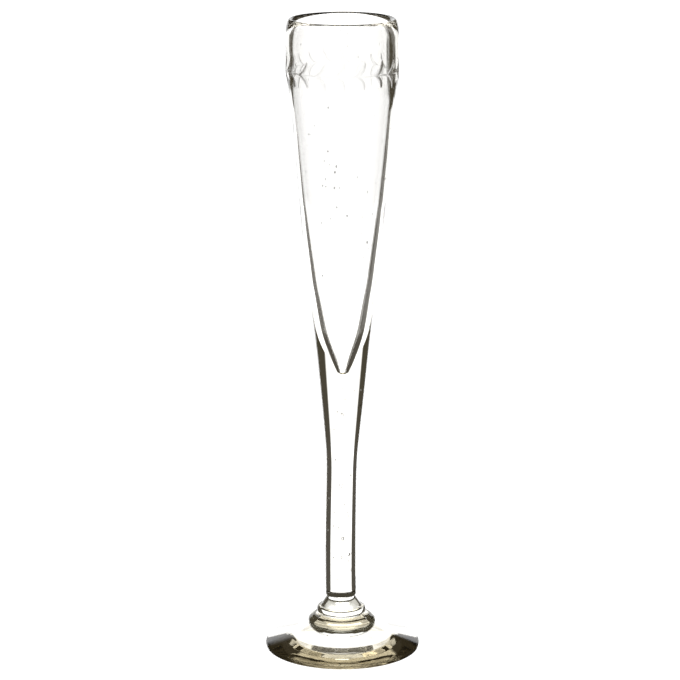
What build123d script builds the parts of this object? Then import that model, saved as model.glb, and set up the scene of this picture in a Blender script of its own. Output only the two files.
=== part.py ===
from build123d import *
import os

# Hand-blown champagne flute in clear glass. Millimetres, +Z up, with the
# origin at the centre of the plane that the foot rests on. Each gather of
# glass is its own solid, turned from a half outline on the XZ plane, and it
# meets the next one over the whole of the face where the two are fused.

# Foot: a disc with a nearly flat crown and a steeper slope to a thin rounded
# edge. It rests on a ring, lifts off the table outside that ring, and is
# ground hollow inside it.
foot_radius = 35.2
foot_height = 8.0
foot_edge_bottom = 1.5
foot_edge_top = 3.5
foot_edge_round = 0.9
foot_crown_radius = 22.5
foot_crown_edge_height = 7.6
foot_crown_round = 6.0
foot_lift_width = 10.7
resting_ring_width = 4.0
resting_ring_round = 4.0
hollow_depth = 1.6

# Knop: a flattened ball between the foot and the collar.
knop_radius = 15.4
knop_height = 8.9
knop_belly_height = 5.3
knop_foot_seat_radius = 9.0

# Collar: a rounded bead, with a short cone that narrows up to the stem.
collar_bead_radius = 11.1
collar_bead_height = 3.7
collar_bead_round = 1.75
collar_cone_radius = 9.2
collar_cone_height = 4.8

# Stem: solid, straight in its lower part, then widening to the bowl.
stem_length = 116.0
stem_radius = 6.95
stem_straight_length = 66.0
stem_blend_round = 150.0
stem_end_round = 0.9

# Bowl: blown and closed to a point, thickest in a band below the lip.
bowl_height = 148.6
band_radius = 25.2
band_height = 24.0
shoulder_radius = 23.0
shoulder_height = 13.5
shoulder_round = 40.0
lip_wall = 3.9
lip_crest_inset = 2.1
lip_outer_fall = 7.0
lip_inner_fall = 2.5
cavity_depth = 159.3
cavity_straight_depth = 41.0
cavity_waist_radius = 16.5
cavity_waist_depth = 82.0
cavity_neck_radius = 11.5
cavity_neck_depth = 119.5
cavity_throat_radius = 7.2
cavity_throat_depth = 143.5
cavity_tip_radius = 1.4
cavity_side_round = 120.0
cavity_throat_round = 80.0
cavity_tip_round = 1.8

# Nose of the bowl, which sits in the cup at the top of the stem.
nose_length = 15.0
nose_tip_radius = 4.0
nose_round = 4.0

# Heights of the fused faces, counted up from the table.
knop_seat = foot_height
collar_seat = knop_seat + knop_height
stem_seat = collar_seat + collar_bead_height + collar_cone_height
bowl_seat = stem_seat + stem_length
lip_top = bowl_seat + bowl_height

# Radii of the fused faces: each is where the rounding of a piece ends.
collar_seat_radius = collar_bead_radius - collar_bead_round
stem_seat_radius = stem_radius - stem_end_round

# One cone runs from the bowl's shoulder to the straight part of the stem, and
# the seam between bowl and stem lies on it.
band_bottom = lip_top - band_height
shoulder_bottom = band_bottom - shoulder_height
stem_straight_top = stem_seat + stem_straight_length
cone_slope = (shoulder_radius - stem_radius) / (shoulder_bottom - stem_straight_top)
seam_radius = stem_radius + cone_slope * (bowl_seat - stem_straight_top)
nose_bottom = bowl_seat - nose_length

# The lip is two quarter ellipses that meet at its crest. The outer one falls
# further, because the rim was fire-polished from outside.
lip_crest_radius = band_radius - lip_crest_inset
cavity_radius = band_radius - lip_wall
cavity_bottom = lip_top - cavity_depth

os.makedirs("parts", exist_ok=True)


def nose_line():
    """Rounded point from the axis out to the seam, shared by bowl and stem."""
    FilletPolyline(
        (0, nose_bottom),
        (nose_tip_radius, nose_bottom),
        (seam_radius, bowl_seat),
        radius=nose_round,
    )


with BuildPart() as foot:
    resting_radius = foot_radius - foot_lift_width
    ring_inner = resting_radius - resting_ring_width
    hollow_radius = (ring_inner**2 + hollow_depth**2) / (2 * hollow_depth)
    with BuildSketch(Plane.XZ):
        with BuildLine():
            FilletPolyline(
                (0, foot_height),
                (knop_foot_seat_radius, foot_height),
                (foot_crown_radius, foot_crown_edge_height),
                (foot_radius, foot_edge_top),
                (foot_radius, foot_edge_bottom),
                (resting_radius, 0),
                (ring_inner, 0),
                radius=[
                    0,
                    foot_crown_round,
                    foot_edge_round,
                    foot_edge_round,
                    resting_ring_round,
                ],
            )
            RadiusArc((ring_inner, 0), (0, hollow_depth), -hollow_radius)
            Line((0, hollow_depth), (0, foot_height))
        make_face()
    revolve(axis=Axis.Z)
foot.part.label = "foot"
export_step(foot.part, "parts/foot.step")


with BuildPart() as knop:
    belly = knop_seat + knop_belly_height
    with BuildSketch(Plane.XZ):
        with BuildLine():
            Line((0, knop_seat), (knop_foot_seat_radius, knop_seat))
            EllipticalCenterArc(
                (knop_foot_seat_radius, belly),
                knop_radius - knop_foot_seat_radius,
                knop_belly_height,
                start_angle=-90,
                arc_size=90,
            )
            EllipticalCenterArc(
                (collar_seat_radius, belly),
                knop_radius - collar_seat_radius,
                knop_height - knop_belly_height,
                start_angle=0,
                arc_size=90,
            )
            Line((collar_seat_radius, collar_seat), (0, collar_seat))
            Line((0, collar_seat), (0, knop_seat))
        make_face()
    revolve(axis=Axis.Z)
knop.part.label = "knop"
export_step(knop.part, "parts/knop.step")


with BuildPart() as collar:
    bead_top = collar_seat + collar_bead_height
    with BuildSketch(Plane.XZ):
        with BuildLine():
            FilletPolyline(
                (0, collar_seat),
                (collar_bead_radius, collar_seat),
                (collar_bead_radius, bead_top),
                (collar_cone_radius, bead_top),
                (stem_seat_radius, stem_seat),
                (0, stem_seat),
                radius=[collar_bead_round, collar_bead_round, 0, 0],
            )
            Line((0, stem_seat), (0, collar_seat))
        make_face()
    revolve(axis=Axis.Z)
collar.part.label = "collar"
export_step(collar.part, "parts/collar.step")


with BuildPart() as stem:
    with BuildSketch(Plane.XZ):
        with BuildLine():
            FilletPolyline(
                (0, stem_seat),
                (stem_radius, stem_seat),
                (stem_radius, stem_straight_top),
                (seam_radius, bowl_seat),
                radius=[stem_end_round, stem_blend_round],
            )
            nose_line()
            Line((0, nose_bottom), (0, stem_seat))
        make_face()
    revolve(axis=Axis.Z)
stem.part.label = "stem"
export_step(stem.part, "parts/stem.step")


with BuildPart() as bowl:
    with BuildSketch(Plane.XZ):
        with BuildLine():
            nose_line()
            FilletPolyline(
                (seam_radius, bowl_seat),
                (shoulder_radius, shoulder_bottom),
                (band_radius, band_bottom),
                (band_radius, lip_top - lip_outer_fall),
                radius=[shoulder_round, shoulder_round],
            )
            EllipticalCenterArc(
                (lip_crest_radius, lip_top - lip_outer_fall),
                lip_crest_inset,
                lip_outer_fall,
                start_angle=0,
                arc_size=90,
            )
            EllipticalCenterArc(
                (lip_crest_radius, lip_top - lip_inner_fall),
                lip_crest_radius - cavity_radius,
                lip_inner_fall,
                start_angle=90,
                arc_size=90,
            )
            FilletPolyline(
                (cavity_radius, lip_top - lip_inner_fall),
                (cavity_radius, lip_top - cavity_straight_depth),
                (cavity_waist_radius, lip_top - cavity_waist_depth),
                (cavity_neck_radius, lip_top - cavity_neck_depth),
                (cavity_throat_radius, lip_top - cavity_throat_depth),
                (cavity_tip_radius, cavity_bottom),
                (0, cavity_bottom),
                radius=[
                    cavity_side_round,
                    cavity_side_round,
                    cavity_side_round,
                    cavity_throat_round,
                    cavity_tip_round,
                ],
            )
            Line((0, cavity_bottom), (0, nose_bottom))
        make_face()
    revolve(axis=Axis.Z)
bowl.part.label = "bowl"
export_step(bowl.part, "parts/bowl.step")
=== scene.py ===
# %% [markdown]
# # A hand-blown champagne flute
#
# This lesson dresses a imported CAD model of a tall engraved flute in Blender.
# The CAD holds five gathers of glass: foot, knop, collar, stem and bowl. Each
# one is rebuilt here as a smooth closed surface, because glass shows every
# facet. Then come the faults that tell of hand work: a drifting axis, seed
# bubbles and a leaf band cut on a wheel. The frame is loaded first. The height
# of each fused face and the largest radius of each piece come from its boxes,
# and the sizes in between are written again here.

# %% Load the frame
import math

import bpy
import numpy as np
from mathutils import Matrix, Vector


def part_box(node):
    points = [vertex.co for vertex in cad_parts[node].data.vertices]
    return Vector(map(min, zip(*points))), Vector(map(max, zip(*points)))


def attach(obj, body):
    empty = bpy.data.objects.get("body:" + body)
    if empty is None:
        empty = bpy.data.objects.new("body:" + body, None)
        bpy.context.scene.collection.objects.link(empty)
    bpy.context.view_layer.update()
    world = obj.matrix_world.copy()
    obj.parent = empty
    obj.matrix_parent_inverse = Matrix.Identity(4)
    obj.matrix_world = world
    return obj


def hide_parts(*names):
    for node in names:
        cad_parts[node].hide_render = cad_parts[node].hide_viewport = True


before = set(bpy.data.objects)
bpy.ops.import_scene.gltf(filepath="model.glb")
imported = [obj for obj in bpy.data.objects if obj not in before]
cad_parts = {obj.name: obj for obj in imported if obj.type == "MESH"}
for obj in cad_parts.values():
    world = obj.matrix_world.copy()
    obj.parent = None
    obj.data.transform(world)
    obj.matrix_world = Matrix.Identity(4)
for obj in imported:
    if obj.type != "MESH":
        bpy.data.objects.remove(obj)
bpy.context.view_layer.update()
print("CAD nodes:", sorted(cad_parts))

# %% [markdown]
# ## Working in millimetres
#
# A glassmaker thinks in millimetres, and Blender works here in metres. All
# outlines are drawn in millimetres and turned to metres when a mesh is made.
# A turned node's box gives its largest radius, its bottom and its top.

# %% Sizes from the frame
MM = 0.001


def node_size(name):
    """Largest radius, bottom and top of a turned CAD node, in millimetres."""
    low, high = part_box(name)
    return (high.x - low.x) / 2 / MM, low.z / MM, high.z / MM


foot_radius, _, knop_seat = node_size("foot")
knop_radius, _, collar_seat = node_size("knop")
bead_radius, _, stem_seat = node_size("collar")
seam_radius, _, bowl_seat = node_size("stem")
band_radius, nose_bottom, lip_top = node_size("bowl")
print(f"seam at {bowl_seat:.1f} mm, lip at {lip_top:.1f} mm")

# %% [markdown]
# ## The camera
#
# The flute is seen from a little above and from well back, so that it hardly
# tapers with distance. A long lens does that. The camera comes before the
# studio, because the light tent is fastened to it.

# %% Camera
CAMERA_DISTANCE = 1262.0
CAMERA_HEIGHT = 449.4
CAMERA_AIM = (-1.14, 0.0, 145.3)
LENS = 153.1

camera = bpy.data.objects.new("camera", bpy.data.cameras.new("camera"))
camera.data.lens = LENS
camera.data.clip_start = 0.01
camera.location = Vector((0.0, -CAMERA_DISTANCE, CAMERA_HEIGHT)) * MM
look = Vector(CAMERA_AIM) * MM - camera.location
camera.rotation_euler = look.to_track_quat("-Z", "Y").to_euler()
bpy.context.scene.collection.objects.link(camera)
bpy.context.scene.camera = camera
bpy.context.view_layer.update()
print(f"camera looks down {math.degrees(math.asin(-look.normalized().z)):.1f} degrees")

# %% [markdown]
# ## Outlines with round corners
#
# A turned shape is described by half an outline: a few corners, each with a
# rounding. The first helper walks along the corners and swaps each for an arc
# that touches both of its sides, as a draughtsman would. The second adds
# points on long straight runs, so that the faces stay near to square.


# %% Outline helpers
def rounded(corners, rounds, arc_step=6.0):
    """Swap each inner corner for an arc of its rounding, sampled every few degrees.

    The arc starts and ends r * tan(turn / 2) from the corner. Each of its
    points is the centre plus a spoke of length r, swung through the turn.
    """
    corners = np.asarray(corners, float)
    outline = [corners[:1]]
    for before, corner, after, r in zip(corners, corners[1:], corners[2:], rounds):
        into = (corner - before) / np.linalg.norm(corner - before)
        out = (after - corner) / np.linalg.norm(after - corner)
        turn = math.atan2(into[0] * out[1] - into[1] * out[0], into @ out)
        if r == 0 or abs(turn) < 1e-6:
            outline.append(corner[None])
            continue
        side = np.array([-into[1], into[0]]) * math.copysign(1, turn)
        centre = corner - into * r * math.tan(abs(turn) / 2) + side * r
        swing = np.linspace(0, turn, max(int(math.degrees(abs(turn)) / arc_step), 3) + 1)
        x = -side[0] * np.cos(swing) + side[1] * np.sin(swing)
        y = -side[0] * np.sin(swing) - side[1] * np.cos(swing)
        outline.append(centre + r * np.column_stack([x, y]))
    outline.append(corners[-1:])
    return np.vstack(outline)


def quarter(centre, across, up, start, steps=14):
    """A quarter of an ellipse: centre + (across cos a, up sin a) over 90 degrees."""
    a = np.radians(np.linspace(start, start + 90, steps))
    return np.column_stack([centre[0] + across * np.cos(a), centre[1] + up * np.sin(a)])


def divided(outline, longest):
    """Add evenly spaced points wherever two points are further apart than longest."""
    outline = np.asarray(outline, float)
    rows = [outline[:1]]
    for a, b in zip(outline, outline[1:]):
        n = max(math.ceil(np.linalg.norm(b - a) / longest), 1)
        rows.append(a + (b - a) * np.linspace(0, 1, n + 1)[1:, None])
    return np.vstack(rows)


def joined(*parts):
    """One outline from parts given as (points, fused), with a flag per segment."""
    points, flags = [np.asarray(parts[0][0], float)[:1]], []
    for part, fused in parts:
        part = np.asarray(part, float)
        fresh = part[1:] if np.allclose(part[0], points[-1][-1]) else part
        flags += [float(fused)] * len(fresh)
        points.append(fresh)
    return np.vstack(points), np.array(flags)


# %% [markdown]
# ## The drift of hand work
#
# A flute that is blown and pulled by hand is never quite true. Its axis
# wanders by a millimetre and each ring is a little out of round. One smooth
# function moves all five pieces, so that their fused faces still meet. A blown
# wall is also a little thick and thin, which takes a second function.

# %% Hand drift
LEAN, LEAN_HEIGHT, LEAN_REACH = 0.9, 45.0, 45.0
STEADY_HEIGHT = 20.0
# Height of the oval in millimetres at the band's radius, and the share that a
# three-sided wave adds to it. Each twists by a radian over its own height.
OUT_OF_ROUND, THREE_SIDED_SHARE = 0.22, 0.6
OVAL_TWIST, THREE_SIDED_TWIST, THREE_SIDED_START = 31.0, 17.0, 1.0
WAVE_COUNT = 6
MOST_TURNS = 5
WAVE_LENGTHS = (14, 60)


def drifted(r, angle, z):
    """Place (r, angle, z) as x, y, z, with the drift of hand work added.

    The radius gains two slow waves round the axis that twist with height, and
    both are scaled by r so that they vanish at the poles. The axis shifts
    sideways by a bell curve in height that is widest low on the stem. Both
    fade out towards the table, where the foot is true.
    """
    steady = np.clip(z / STEADY_HEIGHT, 0, 1)
    oval = np.cos(2 * angle + z / OVAL_TWIST)
    three_sided = np.cos(3 * angle - z / THREE_SIDED_TWIST + THREE_SIDED_START)
    wave = oval + THREE_SIDED_SHARE * three_sided
    radius = r * (1 + OUT_OF_ROUND * wave * steady / band_radius)
    shift = -LEAN * steady * np.exp(-(((z - LEAN_HEIGHT) / LEAN_REACH) ** 2))
    return np.stack(
        [radius * np.cos(angle) + shift, radius * np.sin(angle), z + 0 * angle], -1)


def hand_waves(rng, angle, z, height, fade):
    """Slow unevenness of a wall in millimetres, at the given angles and heights.

    The sum of a few waves a * sin(n * angle + 2 pi z / L + p). All have the same
    a, which is height / sqrt(count), and each has its own turns n, length L and
    phase p. The sum grows from nothing at the first height of fade to its full
    size at the second.
    """
    turns = rng.integers(1, MOST_TURNS + 1, WAVE_COUNT)[:, None, None]
    length = rng.uniform(*WAVE_LENGTHS, WAVE_COUNT)[:, None, None]
    phase = rng.uniform(0, 2 * np.pi, WAVE_COUNT)[:, None, None]
    waves = height / WAVE_COUNT**0.5 * np.sin(
        turns * angle + 2 * np.pi * z / length + phase)
    return waves.sum(axis=0) * np.clip((z - fade[0]) / (fade[1] - fade[0]), 0, 1)


# %% [markdown]
# ## From an outline to a mesh
#
# A turned surface is a grid with a row for each outline point and a column
# for each angle. The first and last points lie on the axis, so each becomes
# one vertex with a fan of triangles, and the surface is closed. Where pieces
# are fused there is no glass surface to see: those faces get a "joint" value
# of 1, and a sharp edge round them so that the shading doesn't bleed across.


# %% Lathe
def turned(outline, columns, fused, sideways=0.0, cut=None, waves=0.0):
    """Parts of a closed outline turned about Z, as a dictionary for make_piece.

    Each grid vertex is the outline's point at its angle, with the cut depth
    taken off the radius and the waves added to it, drifted, and then moved
    sideways along X.
    """
    ring = outline[1:-1]
    rows = len(ring)
    sideways = np.zeros(len(outline)) + sideways
    cut = np.zeros((rows, columns)) if cut is None else cut
    angle = np.linspace(0, 2 * np.pi, columns, endpoint=False)[None, :]
    grid = drifted(ring[:, :1] - cut + waves, angle, ring[:, 1:] + 0 * angle)
    grid[..., 0] += sideways[1:-1, None]
    ends = outline[[0, -1]]
    poles = drifted(ends[:, 0], np.zeros(2), ends[:, 1])
    poles[:, 0] += sideways[[0, -1]]
    at = np.arange(rows * columns).reshape(rows, columns)
    right = np.roll(at, -1, axis=1)
    low, high = np.full(columns, rows * columns), np.full(columns, rows * columns + 1)
    return {
        "verts": np.vstack([grid.reshape(-1, 3), poles]),
        "quads": np.stack([at[:-1], right[:-1], right[1:], at[1:]], -1).reshape(-1, 4),
        "tris": np.vstack([np.stack([low, right[0], at[0]], -1),
                           np.stack([high, at[-1], right[-1]], -1)]),
        "joint": (np.repeat(fused[1:-1], columns), np.repeat(fused[[0, -1]], columns)),
        "crease": np.append(np.repeat(fused[1:] != fused[:-1], columns), [False, False]),
        "cut": np.append(cut.ravel(), [0.0, 0.0]),
    }


def make_piece(name, parts, smooth=True):
    """Mesh object in metres from the arrays of one or more parts, with attributes."""
    starts = np.cumsum([0] + [len(p["verts"]) for p in parts])
    verts = np.vstack([p["verts"] for p in parts])
    quads = np.vstack([p["quads"] + n for p, n in zip(parts, starts)])
    tris = np.vstack([p["tris"] + n for p, n in zip(parts, starts)])
    loops = np.concatenate([quads.ravel(), tris.ravel()])
    sizes = np.concatenate([np.full(len(quads), 4), np.full(len(tris), 3)])
    mesh = bpy.data.meshes.new(name)
    mesh.vertices.add(len(verts))
    mesh.vertices.foreach_set("co", (verts * MM).ravel())
    mesh.loops.add(len(loops))
    mesh.loops.foreach_set("vertex_index", loops.astype(np.int32))
    mesh.polygons.add(len(sizes))
    mesh.polygons.foreach_set("loop_start", (np.cumsum(sizes) - sizes).astype(np.int32))
    mesh.polygons.foreach_set("use_smooth", np.full(len(sizes), smooth))
    mesh.update(calc_edges=True)
    if "joint" in parts[0]:
        joint = np.concatenate([p["joint"][k] for k in (0, 1) for p in parts])
        mesh.attributes.new("joint", "FLOAT", "FACE").data.foreach_set("value", joint)
        cut = np.concatenate([p["cut"] for p in parts])
        mesh.attributes.new("cut", "FLOAT", "POINT").data.foreach_set("value", cut)
        crease = np.concatenate([p["crease"] for p in parts])
        ends = np.empty(len(mesh.edges) * 2, np.int32)
        mesh.edges.foreach_get("vertices", ends)
        sharp = mesh.attributes.new("sharp_edge", "BOOLEAN", "EDGE")
        sharp.data.foreach_set("value", crease[ends.reshape(-1, 2)].all(axis=1))
    made = bpy.data.objects.new(name, mesh)
    bpy.context.scene.collection.objects.link(made)
    print(f"{name}: {len(tris) + 2 * len(quads)} triangles")
    return made


# %% Plain sheets
def sheet(verts, quads):
    """One part for make_piece with quads only, for a floor, a card or a tent."""
    return {"verts": verts, "quads": quads, "tris": np.empty((0, 3), int)}


# %% [markdown]
# ## Seed bubbles
#
# Glass melted from recycled cullet is full of seeds: tiny bubbles of gas that
# never rose out of the pot. In a drawn piece they are pulled long. Each seed
# is a small closed ball, turned inside out, because its outside is glass and
# its inside is air.

# %% Seeds
SEED_COLUMNS, SEED_ROWS = 8, 5
SEED_LATITUDE = 60
# The largest share of the wall that a seed's radius may take, and how many of
# its radii its centre keeps from both faces of the wall.
SEED_SHARE, SEED_MARGIN = 0.3, 1.3


def seeds(rng, count, inner, outer, heights, sizes, pull):
    """Parts of many small voids between two radii, as functions of height.

    Each void is a ball of longitude and latitude, its radius drawn so that
    small ones are common, and its height stretched by up to pull.
    """
    z = rng.uniform(*heights, count)
    low, high = inner(z), outer(z)
    size = sizes[0] + (sizes[1] - sizes[0]) * rng.random(count) ** 3
    size = np.minimum(size, (high - low) * SEED_SHARE)
    room = high - low - size * (2 * SEED_MARGIN)
    r = low + size * SEED_MARGIN + room * rng.random(count)
    centre = drifted(r, rng.uniform(0, 2 * np.pi, count), z)
    tall = size * (1 + (pull - 1) * rng.random(count))
    lon = np.linspace(0, 2 * np.pi, SEED_COLUMNS, endpoint=False)[None, :]
    lat = np.radians(np.linspace(-SEED_LATITUDE, SEED_LATITUDE, SEED_ROWS))[:, None]
    ball = np.stack([np.cos(lat) * np.cos(lon), np.cos(lat) * np.sin(lon),
                     np.sin(lat) + 0 * lon], -1).reshape(-1, 3)
    ball = np.vstack([ball, [[0, 0, -1], [0, 0, 1]]])
    scale = np.stack([size, size, tall], -1)
    verts = (centre[:, None, :] + ball[None] * scale[:, None, :]).reshape(-1, 3)
    at = np.arange(SEED_ROWS * SEED_COLUMNS).reshape(SEED_ROWS, SEED_COLUMNS)
    right = np.roll(at, -1, axis=1)
    quads = np.stack([at[:-1], at[1:], right[1:], right[:-1]], -1).reshape(-1, 4)
    south, north = np.full(SEED_COLUMNS, at.size), np.full(SEED_COLUMNS, at.size + 1)
    tris = np.vstack([np.stack([south, at[0], right[0]], -1),
                      np.stack([north, right[-1], at[-1]], -1)])
    step = np.arange(count)[:, None, None] * len(ball)
    quads, tris = (quads + step).reshape(-1, 4), (tris + step).reshape(-1, 3)
    return {"verts": verts, "quads": quads, "tris": tris,
            "joint": (np.zeros(len(quads)), np.zeros(len(tris))),
            "crease": np.zeros(len(verts), bool), "cut": np.zeros(len(verts))}


# %% [markdown]
# ## Glass
#
# The flute is soda-lime glass, melted from bottles. Thin, it is clear; where
# light runs a long way inside it, as round the foot, iron turns it olive. So
# the tint is an absorption in the volume and not a colour on the surface. The
# surface is fire-polished: quite smooth, with slow striae along the pull and a
# fine ripple. Where the wheel has cut it, the "cut" attribute makes it matt.
# Faces marked as a joint let light straight through.


# %% Glass materials
def linear(hex_colour):
    """Turn an sRGB hex colour such as "#c8d0c4" to linear RGBA."""
    srgb = np.array([int(hex_colour[i : i + 2], 16) for i in (1, 3, 5)]) / 255
    rgb = np.where(srgb <= 0.04045, srgb / 12.92, ((srgb + 0.055) / 1.055) ** 2.4)
    return (*rgb.tolist(), 1.0)


def node(tree, kind, settings=None, links=None):
    """Add a node, set its sockets and properties, and link outputs to its sockets."""
    made = tree.nodes.new(kind)
    for key, value in (settings or {}).items():
        if key in made.inputs:
            made.inputs[key].default_value = value
        else:
            setattr(made, key, value)
    for key, source in (links or {}).items():
        tree.links.new(source, made.inputs[key])
    return made


def new_material(name):
    """An empty node material, and its tree."""
    material = bpy.data.materials.new(name)
    material.use_nodes = True
    material.node_tree.nodes.clear()
    return material, material.node_tree


SODA_LIME_IOR = 1.52
STRIA_WIDTH, STRIA_LENGTH, STRIA_HEIGHT = 7.0, 45.0, 0.012
RIPPLE_WIDTH, RIPPLE_HEIGHT = 2.2, 0.0016
WHEEL_ROUGHNESS = 0.42
FROST_DEPTH = 0.06
TINT_DENSITY = 100.0


def soda_lime_glass(name, tint):
    """Fire-polished soda-lime glass, tinted by depth and matt where it is cut."""
    material, tree = new_material(name)
    place = node(tree, "ShaderNodeTexCoord").outputs["Object"]
    along = node(tree, "ShaderNodeMapping", {
        "Scale": (1 / (STRIA_WIDTH * MM), 1 / (STRIA_WIDTH * MM), 1 / (STRIA_LENGTH * MM))},
        {"Vector": place})
    striae = node(tree, "ShaderNodeTexNoise", {"Scale": 1.0, "Detail": 2.0},
                  {"Vector": along.outputs[0]})
    ripple = node(tree, "ShaderNodeTexNoise",
                  {"Scale": 1 / (RIPPLE_WIDTH * MM), "Detail": 1.0}, {"Vector": place})
    waves = node(tree, "ShaderNodeBump", {"Distance": STRIA_HEIGHT * MM, "Strength": 1.0},
                 {"Height": striae.outputs["Fac"]})
    surface = node(tree, "ShaderNodeBump", {"Distance": RIPPLE_HEIGHT * MM, "Strength": 1.0},
                   {"Height": ripple.outputs["Fac"], "Normal": waves.outputs[0]})
    cut = node(tree, "ShaderNodeAttribute", {"attribute_name": "cut"})
    frost = node(tree, "ShaderNodeMapRange", {
        "From Max": FROST_DEPTH, "To Max": WHEEL_ROUGHNESS}, {"Value": cut.outputs["Fac"]})
    glass = node(tree, "ShaderNodeBsdfPrincipled", {
        "Base Color": linear("#ffffff"), "IOR": SODA_LIME_IOR, "Transmission Weight": 1.0},
        {"Roughness": frost.outputs[0], "Normal": surface.outputs[0]})
    joint = node(tree, "ShaderNodeAttribute", {"attribute_name": "joint"})
    fused = node(tree, "ShaderNodeBsdfTransparent")
    face = node(tree, "ShaderNodeMixShader", {}, {
        0: joint.outputs["Fac"], 1: glass.outputs[0], 2: fused.outputs[0]})
    depth = node(tree, "ShaderNodeVolumeAbsorption", {
        "Color": linear(tint), "Density": TINT_DENSITY})
    node(tree, "ShaderNodeOutputMaterial", {},
         {"Surface": face.outputs[0], "Volume": depth.outputs[0]})
    print("material", name)
    return material


blown_glass = soda_lime_glass("blown_soda_lime_glass", "#fdfcf9")
drawn_glass = soda_lime_glass("drawn_soda_lime_glass", "#fdfcf9")
tooled_glass = soda_lime_glass("tooled_soda_lime_glass", "#fefefc")
pressed_glass = soda_lime_glass("pressed_soda_lime_glass", "#eeebe2")

# %% [markdown]
# ## Foot
#
# The foot is a pressed disc. It has a nearly flat crown, a steeper slope to a
# thin rounded edge, and an underside that lifts off the table outside its
# resting ring and is ground hollow inside it. The slope traps light that has
# run through the whole foot, which is why it looks dark.

# %% Foot
GAP = 0.02
ROUND_COLUMNS = 192
FOOT_EDGE_BOTTOM, FOOT_EDGE_TOP, FOOT_EDGE_ROUND = 1.5, 3.5, 0.9
CROWN_RADIUS, CROWN_EDGE_HEIGHT, CROWN_ROUND = 22.5, 7.6, 6.0
RESTING_RADIUS, RESTING_ROUND, RING_WIDTH = 24.5, 4.0, 4.0
HOLLOW_DEPTH, HOLLOW_POINTS = 1.6, 14
KNOP_FOOT_SEAT = 9.0

ring_inner = RESTING_RADIUS - RING_WIDTH
across = np.linspace(0, 1, HOLLOW_POINTS)
hollow = np.column_stack([ring_inner * across, HOLLOW_DEPTH * (1 - across**2)])
foot_side = rounded(
    [(ring_inner, 0), (RESTING_RADIUS, 0), (foot_radius, FOOT_EDGE_BOTTOM),
     (foot_radius, FOOT_EDGE_TOP), (CROWN_RADIUS, CROWN_EDGE_HEIGHT),
     (KNOP_FOOT_SEAT, knop_seat)],
    [RESTING_ROUND, FOOT_EDGE_ROUND, FOOT_EDGE_ROUND, CROWN_ROUND], arc_step=4.0)
foot_outline, foot_fused = joined(
    (divided(hollow, longest=1.5), False), (divided(foot_side, longest=1.0), False),
    ([(KNOP_FOOT_SEAT, knop_seat), (0, knop_seat)], True))
foot = make_piece("foot_glass", [turned(foot_outline, ROUND_COLUMNS, foot_fused)])
foot.data.materials.append(pressed_glass)

# %% [markdown]
# ## Knop
#
# The knop is a ball of hot glass squashed between the foot and the collar. Its
# side is two quarter ellipses that meet at the belly. It works as a thick
# lens, bright in the middle and dark at its shoulders.

# %% Knop
BELLY_HEIGHT = 5.3
BEAD_ROUND = 1.75

collar_seat_radius = bead_radius - BEAD_ROUND
belly = knop_seat + BELLY_HEIGHT
knop_side = np.vstack([
    quarter((KNOP_FOOT_SEAT, belly), knop_radius - KNOP_FOOT_SEAT,
            BELLY_HEIGHT - GAP, start=-90),
    quarter((collar_seat_radius, belly), knop_radius - collar_seat_radius,
            collar_seat - belly, start=0)[1:]])
knop_outline, knop_fused = joined(
    ([(0, knop_seat + GAP), knop_side[0]], True),
    (divided(knop_side, longest=1.0), False),
    ([knop_side[-1], (0, collar_seat)], True))
knop = make_piece("knop_glass", [turned(knop_outline, ROUND_COLUMNS, knop_fused)])
knop.data.materials.append(tooled_glass)

# %% [markdown]
# ## Collar
#
# The collar is a small gather put on before the stem. It starts as a cone
# under the stem and ends in a rounded bead that sits on the knop.

# %% Collar
BEAD_HEIGHT, CONE_RADIUS, CREASE_ROUND = 3.7, 9.2, 0.4
STEM_END_ROUND, STEM_RADIUS = 0.9, 6.95

stem_seat_radius = STEM_RADIUS - STEM_END_ROUND
bead_top = collar_seat + BEAD_HEIGHT
collar_side = rounded(
    [(0, collar_seat + GAP), (bead_radius, collar_seat + GAP), (bead_radius, bead_top),
     (CONE_RADIUS, bead_top), (stem_seat_radius, stem_seat), (0, stem_seat)],
    [BEAD_ROUND, BEAD_ROUND, CREASE_ROUND, 0], arc_step=8.0)
collar_outline, collar_fused = joined(
    (collar_side[:2], True), (divided(collar_side[1:-1], longest=0.8), False),
    (collar_side[-2:], True))
collar = make_piece("collar_glass", [turned(collar_outline, ROUND_COLUMNS, collar_fused)])
collar.data.materials.append(tooled_glass)

# %% [markdown]
# ## Stem
#
# The stem is solid, drawn down from a gather whose cup took the closed point
# of the bowl. The cup's line is the bowl's nose, a hair lower. Its seeds are
# long, because the glass was pulled with them in it.

# %% Stem
STRAIGHT_LENGTH, STEM_BLEND = 66.0, 150.0
NOSE_TIP_RADIUS, NOSE_ROUND = 4.0, 4.0
STEM_SEEDS, STEM_SEED_SIZES, STEM_SEED_PULL = 90, (0.10, 0.32), 3.5
STEM_SEED_DRAW = 7
STEM_CLEAR_BELOW, STEM_CLEAR_ABOVE = 4, 2

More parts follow.
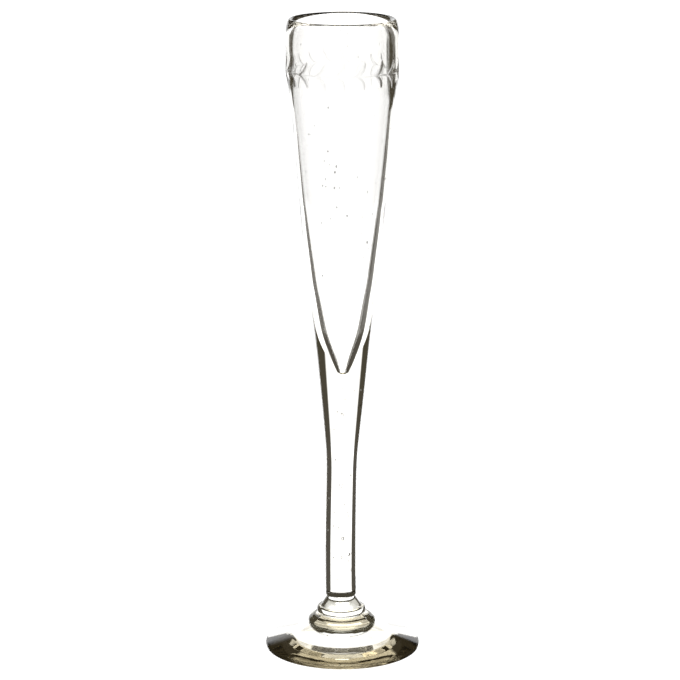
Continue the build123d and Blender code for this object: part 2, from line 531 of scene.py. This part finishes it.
stem_side = rounded(
    [(0, stem_seat + GAP), (STEM_RADIUS, stem_seat + GAP),
     (STEM_RADIUS, stem_seat + STRAIGHT_LENGTH), (seam_radius, bowl_seat)],
    [STEM_END_ROUND, STEM_BLEND], arc_step=4.0)
nose = rounded(
    [(0, nose_bottom), (NOSE_TIP_RADIUS, nose_bottom), (seam_radius, bowl_seat)],
    [NOSE_ROUND], arc_step=8.0)
stem_outline, stem_fused = joined(
    (stem_side[:2], True), (divided(stem_side[1:], longest=4.0), False),
    (divided(nose[::-1] - [0, GAP], longest=2.0), True))
stem_seeds = seeds(
    np.random.default_rng(STEM_SEED_DRAW), STEM_SEEDS, lambda z: 0 * z,
    lambda z: np.interp(z, stem_side[1:, 1], stem_side[1:, 0]),
    (stem_seat + STEM_CLEAR_BELOW, nose_bottom - STEM_CLEAR_ABOVE),
    STEM_SEED_SIZES, STEM_SEED_PULL)
stem = make_piece("stem_glass", [turned(stem_outline, ROUND_COLUMNS, stem_fused), stem_seeds])
stem.data.materials.append(drawn_glass)

# %% [markdown]
# ## The cut band
#
# A wheel cutter marks a vine round the bowl and grinds a pair of curved leaves
# at each step. Unrolled, a leaf follows a quarter of an ellipse that leaves
# the vine and turns away from it. Its depth is a shallow trough across that
# line, and its width swells from nothing and back.

# %% Cut leaves
LEAF_PAIRS = 18
VINE_HEIGHT = 22.5
LEAF_RUN, LEAF_RISE = 5.2, 6.4
LEAF_HALF_WIDTH, LEAF_DEPTH = 1.05, 0.32
LEAF_SWELL, LEAF_UNEVENNESS = 0.7, 0.12
VINE_HALF_WIDTH, VINE_DEPTH = 0.3, 0.12
BAND_REACH = LEAF_RISE * 1.15


def leaf_cut(angle, z, vine_z):
    """Depth of the cut at an angle and height on the band.

    Run is the distance along the vine from the start of the nearest leaf, and
    rise the distance from the vine, with a little unevenness from leaf to
    leaf. The distance to the leaf's line is f / |gradient of f|, for the
    ellipse f = (run / LEAF_RUN)^2 + (1 - rise / LEAF_RISE)^2 - 1.
    """
    pitch = 2 * np.pi / LEAF_PAIRS
    index = np.floor(angle / pitch)
    uneven = LEAF_UNEVENNESS * np.sin(5 * index + np.sign(z - vine_z)) + 1
    run = (angle / pitch - index) * pitch * band_radius
    rise = np.abs(z - vine_z) / uneven
    f_run, f_rise = run / LEAF_RUN, 1 - rise / LEAF_RISE
    slope = 2 * np.hypot(f_run / LEAF_RUN, f_rise / LEAF_RISE)
    off_line = (f_run**2 + f_rise**2 - 1) / np.maximum(slope, 1e-6)
    along = np.arctan2(f_run, f_rise) / (np.pi / 2)
    width = LEAF_HALF_WIDTH * np.sin(np.pi * np.clip(along, 0, 1)) ** LEAF_SWELL
    inside = (along > 0) & (along < 1)
    leaf = np.where(inside, 1 - (off_line / np.maximum(width, 1e-3)) ** 2, 0)
    vine = 1 - ((z - vine_z) / VINE_HALF_WIDTH) ** 2
    return np.maximum(LEAF_DEPTH * np.clip(leaf, 0, 1),
                      VINE_DEPTH * np.clip(vine, 0, 1))


# %% [markdown]
# ## Bowl
#
# The bowl is blown and closed to a point. Outside it is one cone, slightly full
# in the middle, with a thick band below the lip; inside, the cavity tapers to a
# point and drifts a little off the axis towards the lip. The lip was cracked
# off and fire-polished, which rounds it more on the outside.

# %% Outside and lip
LIP_WALL, CAVITY_DEPTH = 3.9, 159.3
LIP_CREST_RADIUS, LIP_OUTER_FALL, LIP_INNER_FALL = 23.1, 7.0, 2.5
BAND_HEIGHT, SHOULDER_RADIUS, SHOULDER_HEIGHT, SHOULDER_ROUND = 24.0, 23.0, 13.5, 40.0
FLANK_RADIUS, FLANK_DEPTH, FLANK_ROUND = 18.4, 90.0, 400.0

band_bottom = lip_top - BAND_HEIGHT
vine_z = lip_top - VINE_HEIGHT
cavity_radius = band_radius - LIP_WALL
cavity_bottom = lip_top - CAVITY_DEPTH
outer = rounded(
    [(seam_radius, bowl_seat), (FLANK_RADIUS, lip_top - FLANK_DEPTH),
     (SHOULDER_RADIUS, band_bottom - SHOULDER_HEIGHT), (band_radius, band_bottom),
     (band_radius, lip_top - LIP_OUTER_FALL)],
    [FLANK_ROUND, SHOULDER_ROUND, SHOULDER_ROUND], arc_step=1.5)
lip = np.vstack([
    quarter((LIP_CREST_RADIUS, lip_top - LIP_OUTER_FALL), band_radius - LIP_CREST_RADIUS,
            LIP_OUTER_FALL, start=0, steps=16),
    quarter((LIP_CREST_RADIUS, lip_top - LIP_INNER_FALL), LIP_CREST_RADIUS - cavity_radius,
            LIP_INNER_FALL, start=90, steps=12)[1:]])
print(f"lip crest {LIP_CREST_RADIUS} mm from the axis, wall {LIP_WALL} mm")

# %% Cavity
CAVITY_STRAIGHT_DEPTH = 36.0
WAIST_RADIUS, WAIST_DEPTH = 16.5, 82.0
NECK_RADIUS, NECK_DEPTH = 11.5, 119.5
THROAT_RADIUS, THROAT_DEPTH = 7.2, 143.5
TIP_RADIUS = 1.4
SIDE_ROUND, THROAT_ROUND, TIP_ROUND = 120.0, 80.0, 1.95

cavity = rounded(
    [(cavity_radius, lip_top - LIP_INNER_FALL),
     (cavity_radius, lip_top - CAVITY_STRAIGHT_DEPTH),
     (WAIST_RADIUS, lip_top - WAIST_DEPTH), (NECK_RADIUS, lip_top - NECK_DEPTH),
     (THROAT_RADIUS, lip_top - THROAT_DEPTH), (TIP_RADIUS, cavity_bottom),
     (0, cavity_bottom)],
    [SIDE_ROUND, SIDE_ROUND, SIDE_ROUND, THROAT_ROUND, TIP_ROUND], arc_step=2.0)
print(f"cavity {cavity_radius:.1f} mm wide from the axis, tip at {cavity_bottom:.1f} mm")

# %% [markdown]
# ## Rows for the cut band
#
# A cut is only as fine as the rows that it moves. Rows all the way down would
# make the mesh heavy, so they lie close together only where the wheel has been.

# %% Bowl outline
CUT_ROW = 0.3


def close_rows(outline, middle, reach, step):
    """Insert extra points by height near a middle height, on a rising outline."""
    extra = np.arange(middle - reach, middle + reach, step)
    radius = np.interp(extra, outline[:, 1], outline[:, 0])
    keep = np.abs(outline[:, 1] - middle) > reach
    rows = np.vstack([outline[keep], np.column_stack([radius, extra])])
    return rows[np.argsort(rows[:, 1])]


outer = close_rows(divided(outer, longest=4.0), vine_z, BAND_REACH, CUT_ROW)
cavity = divided(cavity, longest=4.0)
bowl_outline, bowl_fused = joined(
    (divided(nose, longest=2.0), True), (outer, False), (lip, False), (cavity, False))
print(f"bowl outline: {len(bowl_outline)} points")

# %% [markdown]
# ## An uneven wall
#
# Light through the wall bends with every change in its thickness. The cavity
# moves a little to one side, and slow waves run over both faces near the lip.
# The outline's points after its highest one are the inner face.

# %% Uneven wall
BOWL_COLUMNS = 384
CAVITY_SHIFT = -0.45
OUTER_WAVE, INNER_WAVE = 0.03, 0.12
WAVE_FADE = (lip_top - 75, lip_top - 15)
WALL_DRAW = 11

past_crest = np.arange(len(bowl_outline)) > np.argmax(bowl_outline[:, 1])
inward = (LIP_CREST_RADIUS - bowl_outline[:, 0]) / (LIP_CREST_RADIUS - cavity_radius)
above_tip = (bowl_outline[:, 1] - cavity_bottom) / CAVITY_DEPTH
bowl_shift = CAVITY_SHIFT * past_crest * np.clip(inward, 0, 1) * above_tip
row_z = bowl_outline[1:-1, 1:]
row_angle = np.linspace(0, 2 * np.pi, BOWL_COLUMNS, endpoint=False)[None, :]
rng = np.random.default_rng(WALL_DRAW)
bowl_waves = np.where(
    past_crest[1:-1, None],
    hand_waves(rng, row_angle, row_z, INNER_WAVE, WAVE_FADE),
    hand_waves(rng, row_angle, row_z, OUTER_WAVE, WAVE_FADE))
bowl_waves *= np.clip(np.abs(row_z - lip_top) / LIP_OUTER_FALL, 0, 1)
print(f"wall waves up to {np.abs(bowl_waves).max():.2f} mm")

# %% Bowl
BOWL_SEEDS, BOWL_SEED_SIZES, BOWL_SEED_PULL = 190, (0.09, 0.36), 2.2
BOWL_SEED_DRAW = 3
BOWL_CLEAR_BELOW, BOWL_CLEAR_ABOVE = 4, 9

on_band = ~past_crest[1:-1, None] & (np.abs(row_z - vine_z) < BAND_REACH)
bowl_cut = np.where(on_band, leaf_cut(row_angle, row_z, vine_z), 0)
bowl_seeds = seeds(
    np.random.default_rng(BOWL_SEED_DRAW), BOWL_SEEDS,
    lambda z: np.interp(z, cavity[::-1, 1], cavity[::-1, 0]),
    lambda z: np.interp(z, outer[:, 1], outer[:, 0]),
    (bowl_seat + BOWL_CLEAR_BELOW, lip_top - BOWL_CLEAR_ABOVE),
    BOWL_SEED_SIZES, BOWL_SEED_PULL)
bowl = make_piece("bowl_glass", [
    turned(bowl_outline, BOWL_COLUMNS, bowl_fused, bowl_shift, bowl_cut, bowl_waves),
    bowl_seeds])
bowl.data.materials.append(blown_glass)

# %% [markdown]
# ## Standing in for the CAD nodes
#
# Each dressed piece hides the CAD solid of the same gather and rides on the one rigid body.

# %% Ride and replace
for piece, cad_node, slot in (
        (foot, "foot", "foot_glass"), (knop, "knop", "knop_glass"),
        (collar, "collar", "collar_glass"), (stem, "stem", "stem_glass"),
        (bowl, "bowl", "blown_glass")):
    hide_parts(cad_node)
    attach(piece, "root")
    print(f"{piece.name} stands in for {cad_node}")

# %% [markdown]
# ## The studio
#
# Clear glass shows only what it bends. So a studio lights it from behind with a
# white panel and keeps the rest dark, and every edge bends towards that dark
# cloth and draws itself as a line. Here that is a round tent, seen only in and
# through the glass, and the camera looks at a plain white room and floor. Its
# light is painted per vertex: dark cloth, with a few soft-edged panels on it.
#
# The tent and its card are fastened to the camera and go round with it, as if
# the glass stood on a turntable in a fixed studio. This matters a great deal:
# a tent that stays put has its dark side behind the glass in a side view, and
# the whole glass then looks dark.

# %% White room and floor
WHITE = 1.25
FLOOR_SIZE, FLOOR_DROP = 6000.0, 0.05


def glow(name, settings, attribute=None):
    """A surface that only sends out light, in one colour or as an attribute paints it."""
    material, tree = new_material(name)
    links = {}
    if attribute:
        painted = node(tree, "ShaderNodeAttribute", {"attribute_name": attribute})
        links = {"Color": painted.outputs["Color"]}
    emit = node(tree, "ShaderNodeEmission", settings, links)
    node(tree, "ShaderNodeOutputMaterial", {}, {"Surface": emit.outputs[0]})
    return material


world = bpy.data.worlds.new("white_room")
bpy.context.scene.world = world
world.use_nodes = True
world.node_tree.nodes.clear()
air = node(world.node_tree, "ShaderNodeBackground",
           {"Color": linear("#ffffff"), "Strength": WHITE})
node(world.node_tree, "ShaderNodeOutputWorld", {}, {"Surface": air.outputs[0]})

corners = np.array([[-1, -1, 0], [1, -1, 0], [1, 1, 0], [-1, 1, 0]]) * FLOOR_SIZE
floor = make_piece("floor", [
    sheet(corners - [0, 0, FLOOR_DROP], np.array([[0, 1, 2, 3]]))], smooth=False)
floor.data.materials.append(
    glow("white_acrylic", {"Color": linear("#ffffff"), "Strength": WHITE}))
floor.visible_transmission = False
floor.visible_glossy = False

# %% Light tent
TENT_RADIUS = 1000.0
TENT_COLUMNS, TENT_ROWS, TENT_POLE = 721, 359, 89.5
# Dark cloth: low down behind the glass, low down beside it, and high up. The
# tone changes over a range of azimuths and a range of elevations, in degrees.
CLOTH_NEAR, CLOTH_LOW, CLOTH_HIGH = "#55514a", "#4a4740", "#474235"
CLOTH_SIDE, CLOTH_RISE = (64, 82), (-16, -4)
# Each panel: half width, bottom and top in degrees, and strength. All are
# turned a little to one side, and their edges are soft over a few degrees.
PANELS_TURNED, PANEL_EDGE = -3.0, 2
PANELS = (
    (29.0, -7.0, 12.0, 1.3),
    (34.0, -16.0, -3.0, 1.3),
    (34.0, -40.0, -12.0, 1.7),
    (38.0, -91.0, -40.0, 0.9),
    (16.0, -91.0, -40.0, 3.5),
    (14.0, 12.0, 30.0, 1.5),
)


def smooth_step(x, low, high):
    """0 below low, 1 above high, and an S curve between."""
    t = np.clip((x - low) / (high - low), 0, 1)
    return t * t * (3 - 2 * t)


def tent_light(azimuth, elevation):
    """Linear RGB of the tent in a direction, in degrees from straight behind."""
    cloth_near, cloth_low, cloth_high = (
        np.array(linear(tone)[:3]) for tone in (CLOTH_NEAR, CLOTH_LOW, CLOTH_HIGH))
    beside = smooth_step(np.abs(azimuth), *CLOTH_SIDE)[..., None]
    cloth_low = cloth_near * (1 - beside) + cloth_low * beside
    up = smooth_step(elevation, *CLOTH_RISE)[..., None]
    light = cloth_low * (1 - up) + cloth_high * up
    for half_width, bottom, top, strength in PANELS:
        inside = (half_width - np.abs(azimuth - PANELS_TURNED),
                  elevation - bottom, top - elevation)
        across, above, below = (smooth_step(x, -PANEL_EDGE, PANEL_EDGE) for x in inside)
        lit = (across * above * below)[..., None]
        light = light * (1 - lit) + strength * lit
    return light


azimuth, elevation = np.meshgrid(
    np.linspace(-180, 180, TENT_COLUMNS), np.linspace(-TENT_POLE, TENT_POLE, TENT_ROWS))
a, e = np.radians(azimuth), np.radians(elevation)
tent_verts = TENT_RADIUS * np.stack(
    [np.sin(a) * np.cos(e), np.cos(a) * np.cos(e), np.sin(e)], -1).reshape(-1, 3)
at = np.arange(azimuth.size).reshape(azimuth.shape)
tent_quads = np.stack([at[:-1, :-1], at[1:, :-1], at[1:, 1:], at[:-1, 1:]], -1)
tent = make_piece("light_tent", [
    sheet(tent_verts + [0, 0, lip_top / 2], tent_quads.reshape(-1, 4))])
shade = np.concatenate([tent_light(azimuth, elevation), np.ones(azimuth.shape + (1,))], -1)
paint = tent.data.attributes.new("light", "FLOAT_COLOR", "POINT")
paint.data.foreach_set("color", shade.ravel())
tent.data.materials.append(glow("tent_cloth", {"Strength": 1.0}, "light"))

# %% [markdown]
# ## The rim card
#
# The round lip would find only dark cloth to bend where its panels end. So a
# curved strip of white card stands close behind the glass, about 5 to 20
# degrees above the lip as seen from there. It is a small piece of a cylinder.

# %% Rim card
RIM_CARD_RADIUS, RIM_CARD_ANGLE, RIM_CARD_COLUMNS = 350.0, 16.0, 25
RIM_CARD_BOTTOM, RIM_CARD_TOP, RIM_CARD_LIGHT = 318.0, 420.0, 1.25

turn, height = np.meshgrid(
    np.radians(np.linspace(-RIM_CARD_ANGLE, RIM_CARD_ANGLE, RIM_CARD_COLUMNS)),
    [RIM_CARD_BOTTOM, RIM_CARD_TOP])
at = np.arange(turn.size).reshape(turn.shape)
card_verts = np.stack(
    [RIM_CARD_RADIUS * np.sin(turn), RIM_CARD_RADIUS * np.cos(turn), height], -1)
rim_card = make_piece("rim_card", [
    sheet(card_verts.reshape(-1, 3),
          np.stack([at[0, :-1], at[1, :-1], at[1, 1:], at[0, 1:]], -1))])
rim_card.data.materials.append(
    glow("card_paper", {"Color": linear("#ffffff"), "Strength": RIM_CARD_LIGHT}))

# %% Fasten the tent and the card to the camera
for light in (tent, rim_card):
    for hidden in ("camera", "diffuse", "shadow"):
        setattr(light, f"visible_{hidden}", False)
    light.parent = camera
    light.matrix_parent_inverse = camera.matrix_world.inverted()

# %% [markdown]
# ## Light paths and tones
#
# Light that is trapped in the foot bounces many times before it gets out, so
# the limits on bounces are raised. The standard view keeps white paper white.

# %% Render settings for glass
scene = bpy.context.scene
scene.view_settings.view_transform = "Standard"
scene.cycles.max_bounces = 24
scene.cycles.transmission_bounces = 24
scene.cycles.glossy_bounces = 16
scene.cycles.transparent_max_bounces = 16
